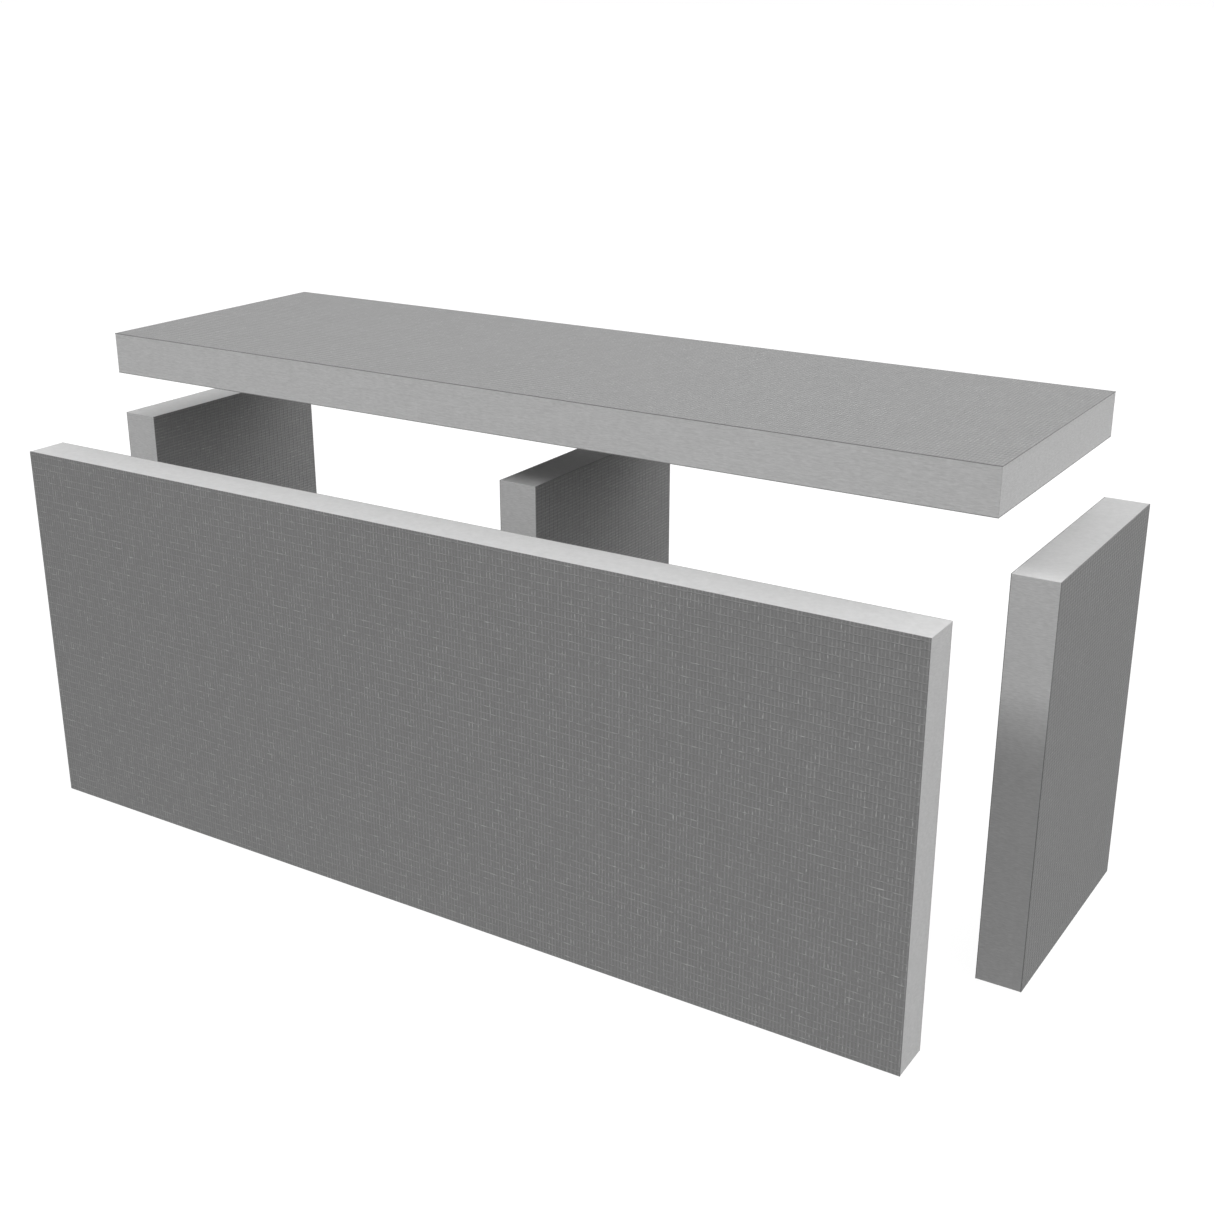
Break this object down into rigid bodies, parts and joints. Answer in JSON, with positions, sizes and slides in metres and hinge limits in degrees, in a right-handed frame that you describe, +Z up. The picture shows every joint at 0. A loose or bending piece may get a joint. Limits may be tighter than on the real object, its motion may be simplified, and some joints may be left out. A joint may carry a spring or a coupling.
{
  "type": "tile backer board bench kit",
  "caption": "Flat-pack bench of mortar-coated foam boards, shown pulled apart: a seat, a front panel and supports that slide together into a base for tiling.",
  "frame": {"origin": "on the floor, in the middle of the rectangle that the pulled-apart boards cover", "axes": "+X along the bench, +Y from the front panel towards the back, +Z up"},
  "size_m": [1.25, 0.5, 0.568],
  "materials": {
    "foam_core": "matte",
    "mortar_coat": "matte",
    "glass_mesh": "matte"
  },
  "bodies": {
    "middle_support": {"middle_support_core": "foam_core", "middle_support_left_mortar": "mortar_coat", "middle_support_right_mortar": "mortar_coat", "middle_support_left_mesh": "glass_mesh", "middle_support_right_mesh": "glass_mesh"},
    "seat": {"seat_core": "foam_core", "seat_upper_mortar": "mortar_coat", "seat_lower_mortar": "mortar_coat", "seat_upper_mesh": "glass_mesh", "seat_lower_mesh": "glass_mesh"},
    "front_panel": {"front_panel_core": "foam_core", "front_panel_outer_mortar": "mortar_coat", "front_panel_inner_mortar": "mortar_coat", "front_panel_outer_mesh": "glass_mesh", "front_panel_inner_mesh": "glass_mesh"},
    "left_support": {"left_support_core": "foam_core", "left_support_outer_mortar": "mortar_coat", "left_support_inner_mortar": "mortar_coat", "left_support_outer_mesh": "glass_mesh", "left_support_inner_mesh": "glass_mesh"},
    "right_support": {"right_support_core": "foam_core", "right_support_inner_mortar": "mortar_coat", "right_support_outer_mortar": "mortar_coat", "right_support_inner_mesh": "glass_mesh", "right_support_outer_mesh": "glass_mesh"}
  },
  "joints": [
    {"name": "seat_slide", "type": "slide", "parent": "middle_support", "child": "seat", "axis": [0, 0, -1], "range_m": [0, 0.067]},
    {"name": "front_panel_slide", "type": "slide", "parent": "middle_support", "child": "front_panel", "axis": [0, 1, 0], "range_m": [0, 0.149]},
    {"name": "left_support_slide", "type": "slide", "parent": "middle_support", "child": "left_support", "axis": [1, 0, 0], "range_m": [0, 0.05]},
    {"name": "right_support_slide", "type": "slide", "parent": "middle_support", "child": "right_support", "axis": [-1, 0, 0], "range_m": [0, 0.05]}
  ]
}
